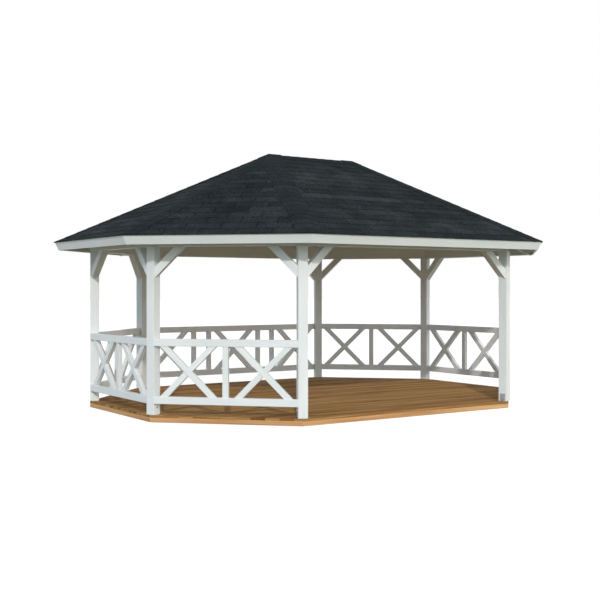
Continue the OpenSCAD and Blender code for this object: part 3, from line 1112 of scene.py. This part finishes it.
def peak_cap(s, along_ridge=0.20, down_slope=0.136, down_hip=0.15):
    """Cap over a ridge end: a fan from the peak to a ring of points on the ridge,
    the long slopes and the four hips, whose height at any plan point is the
    apex less the fall to the farthest of the slopes, plus the cap's own."""
    hip_turns = (np.arange(4) - 1.5) * pi / 4
    ring = np.concatenate([
        down_hip * np.stack([np.cos(hip_turns), np.sin(hip_turns)], axis=1),
        [[-along_ridge, down_slope], [-along_ridge, 0], [-along_ridge, -down_slope]],
    ])
    plan = np.concatenate([[[0, 0]], ring])
    slope_turns = np.arange(-2, 3) * pi / 4
    outwards = np.stack([np.cos(slope_turns), np.sin(slope_turns)])
    fall = tan(pitch) * (plan @ outwards).max(axis=1)
    proud = np.where(abs(plan[:, 1]) > 0, 0.0170, 0.0148)
    top = np.column_stack([plan, apex - fall + proud])
    bottom = np.column_stack([plan, apex - fall + 0.004])
    points = np.concatenate([top, bottom]) * (s, s, 1) + (s * ridge_half, 0, 0)
    count = len(plan)
    k = np.arange(1, count)
    after = np.roll(k, -1)
    upper = np.stack([0 * k, k, after], axis=1)
    lower = upper[:, ::-1] + count
    walls = np.stack([k, k + count, after + count, after], axis=1)
    return {
        "points": points,
        "corners": np.concatenate([upper.ravel(), lower.ravel(), walls.ravel()]),
        "sizes": np.repeat([3, 4], [2 * len(k), len(k)]),
        "grain": x_axis, "tone": 0.0, "tones": np.full(3 * len(k), 0.3 * s),
    }


parts += [peak_cap(s) for s in (-1, 1)]
caps = new_piece("hip_and_ridge_caps", parts, slate_caps, "shingles")
set_tones(caps, parts)

# ---- Studio ----
# A pale floor and a white surround. The key lamp stands low in front, and the
# surround fills in from all sides.
floor_mesh = bpy.data.meshes.new("studio_floor")
half_floor = 120
floor_drop = 0.002
floor_corners = half_floor * np.array([[-1, -1, 0], [1, -1, 0], [1, 1, 0], [-1, 1, 0]])
floor_mesh.from_pydata((floor_corners - (0, 0, floor_drop)).tolist(), [], [(0, 1, 2, 3)])
studio_floor = bpy.data.objects.new("studio_floor", floor_mesh)
bpy.context.scene.collection.objects.link(studio_floor)
studio_floor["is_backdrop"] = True


def seen_directly(tree):
    """1 where a ray shows the studio itself, to the camera, in a reflection or
    through glass, and 0 where it only brings light. Gives its value socket."""
    rays = add(tree, "LightPath").outputs
    seen = maths(tree, "MAXIMUM", rays["Is Camera Ray"], rays["Is Glossy Ray"])
    return maths(tree, "MAXIMUM", seen, rays["Is Transmission Ray"])


pale = bpy.data.materials.new("studio_floor")
pale.use_nodes = True
tree = pale.node_tree
tree.nodes.clear()
lit = add(tree, "BsdfDiffuse", {"Color": (0.19, 0.20, 0.125, 1)})
shown = add(tree, "BsdfDiffuse", {"Color": (0.30, 0.30, 0.30, 1)})
glow = add(tree, "Emission", {"Color": (1, 1, 1, 1), "Strength": 0.85})
both = add(tree, "AddShader", {0: shown.outputs[0], 1: glow.outputs[0]})
mixed = add(
    tree, "MixShader", {0: seen_directly(tree), 1: lit.outputs[0], 2: both.outputs[0]}
)
add(tree, "OutputMaterial", {"Surface": mixed.outputs[0]})
floor_mesh.materials.append(pale)

world = bpy.data.worlds.new("studio")
bpy.context.scene.world = world
world.use_nodes = True
tree = world.node_tree
tree.nodes.clear()
# The surround is brightest low down and to the right, and a little blue on the
# left.
towards = add(tree, "TexCoord").outputs["Generated"]
rise = add(tree, "SeparateXYZ", {0: towards}).outputs["Z"]
low_down = add(tree, "MapRange", {"Value": rise, "To Min": 1.14, "To Max": 0.34})
rightness = add(
    tree, "VectorMath", {0: towards, 1: (0.85, -0.53, 0)}, operation="DOT_PRODUCT"
)
right = add(tree, "MapRange", {"Value": rightness.outputs["Value"], "From Min": -1.0})
share = add(
    tree, "MapRange", {"Value": right.outputs[0], "To Min": 0.88, "To Max": 1.78}
)
strength = maths(tree, "MULTIPLY", low_down.outputs[0], share.outputs[0])
tint = blend(tree, right.outputs[0], (0.78, 0.96, 1.18, 1), (1.0, 1.0, 0.93, 1))
fill = add(tree, "Background", {"Color": tint, "Strength": strength})
white = add(tree, "Background", {"Color": (1, 1, 1, 1), "Strength": 1.0})
mixed = add(
    tree, "MixShader", {0: seen_directly(tree), 1: fill.outputs[0], 2: white.outputs[0]}
)
add(tree, "OutputWorld", {"Surface": mixed.outputs[0]})

key = bpy.data.objects.new("key", bpy.data.lights.new("key", "SUN"))
bpy.context.scene.collection.objects.link(key)
key.data.energy = 1.62
key.data.color = (1.0, 0.98, 0.95)
key.data.angle = radians(1.6)
key_azimuth, key_height = radians(-121), radians(26)
key.rotation_euler = (pi / 2 - key_height, 0, key_azimuth + pi / 2)

bpy.context.scene.view_settings.view_transform = "Standard"

low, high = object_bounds()
